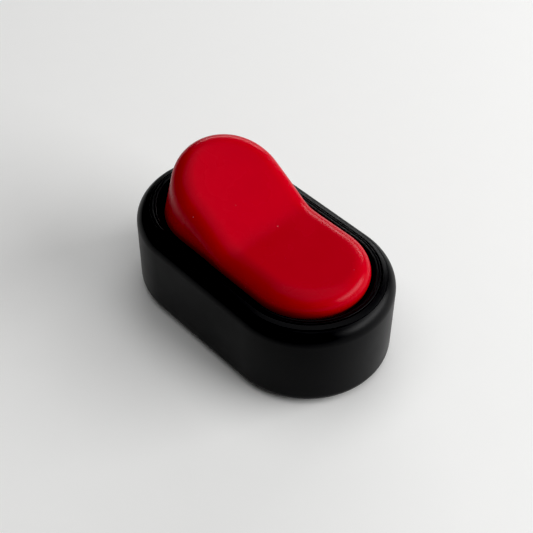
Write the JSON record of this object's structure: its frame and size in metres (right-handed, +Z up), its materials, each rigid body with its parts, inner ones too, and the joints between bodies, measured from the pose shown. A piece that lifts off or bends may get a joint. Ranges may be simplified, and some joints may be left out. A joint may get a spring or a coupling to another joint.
{
  "type": "quiz buzzer",
  "caption": "Hand-held quiz buzzer: an oblong black case with a wave-shaped red rocker cap that tips on a pin, closes a contact and springs back; battery door beneath.",
  "frame": {"origin": "middle of the footprint, on the surface that the four rubber feet stand on", "axes": "+Z up through the cap; +X along the case towards the low end of the cap; Y across the case"},
  "size_m": [0.0756, 0.043, 0.0418],
  "materials": {
    "black_case_plastic": "moulded black ABS with a fine satin texture",
    "red_cap_plastic": "moulded red ABS, soft satin gloss",
    "foot_rubber": "matt moulded rubber",
    "contact_brass": "pressed brass",
    "plated_steel": "bright zinc-plated steel",
    "board_laminate": "green solder-masked laminate",
    "moulded_black": "black moulding compound",
    "resistor_lacquer": "tan lacquer",
    "capacitor_sleeve": "shrink sleeve",
    "cell_wrap": "plain grey printed film with no lettering"
  },
  "bodies": {
    "root": {"case_shell": "black_case_plastic", "bezel_ring": "black_case_plastic", "base_plate": "black_case_plastic", "pivot_pin": "plated_steel", "return_spring": "plated_steel", "case_screw_1": "plated_steel", "case_screw_2": "plated_steel", "case_screw_3": "plated_steel", "case_screw_4": "plated_steel", "foot_pad_1": "foot_rubber", "foot_pad_2": "foot_rubber", "foot_pad_3": "foot_rubber", "foot_pad_4": "foot_rubber", "circuit_board": "board_laminate", "board_screw_1": "plated_steel", "board_screw_2": "plated_steel", "fixed_contact_1": "contact_brass", "fixed_contact_2": "contact_brass", "buzzer": "moulded_black", "drive_transistor": "moulded_black", "base_resistor": "resistor_lacquer", "capacitor": "capacitor_sleeve", "battery_cell_1": "cell_wrap", "battery_cell_2": "cell_wrap", "cell_bridge_contact": "plated_steel", "positive_terminal": "contact_brass", "negative_terminal": "contact_brass", "battery_spring_1": "plated_steel", "battery_spring_2": "plated_steel"},
    "rocker": {"rocker_cap": "red_cap_plastic", "contact_bridge": "contact_brass", "bridge_screw": "plated_steel"},
    "battery_door": {"battery_door": "black_case_plastic", "battery_door_screw": "plated_steel"}
  },
  "joints": [
    {"name": "rocker_press", "type": "hinge", "parent": "root", "child": "rocker", "pos_m": [0, 0, 0.0219], "axis": [0, -1, 0], "range_deg": [0, 24], "stiffness_Nm_per_rad": 0.12, "springref_deg": -20.05, "deforming": ["return_spring"]},
    {"name": "battery_door_swing", "type": "hinge", "parent": "root", "child": "battery_door", "pos_m": [-0.0255, 0, 0.0004], "axis": [0, 1, 0], "range_deg": [0, 70]}
  ]
}
